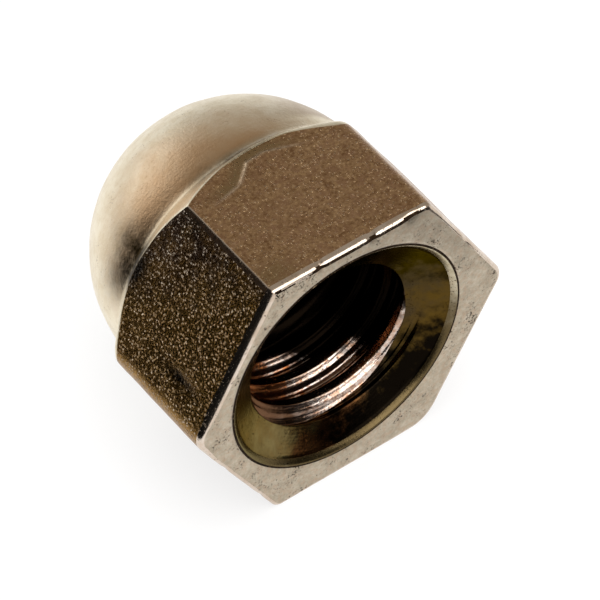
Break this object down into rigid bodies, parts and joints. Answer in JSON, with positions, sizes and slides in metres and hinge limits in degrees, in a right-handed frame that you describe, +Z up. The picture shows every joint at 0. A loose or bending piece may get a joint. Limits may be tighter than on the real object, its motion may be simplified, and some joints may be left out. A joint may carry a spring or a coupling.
{
  "type": "cap nut",
  "caption": "Domed hexagon cap nut, nickel-plated steel, with a wide countersink and a blind tapped hole, lying on one of its flats.",
  "frame": {"origin": "on the surface the nut lies on, below the middle of its bounding box", "axes": "+Z up, square to the flat it lies on; the thread axis runs along Y, with the mouth towards -Y and the dome towards +Y; +X runs to a corner of the hexagon"},
  "size_m": [0.0216, 0.0194, 0.019],
  "materials": {
    "nickel_plated_steel": "worn nickel plate over forged steel: satin dome, grainy flats, pitted mouth face, bright thread crests"
  },
  "bodies": {
    "root": {"cap_nut": "nickel_plated_steel"}
  },
  "joints": []
}
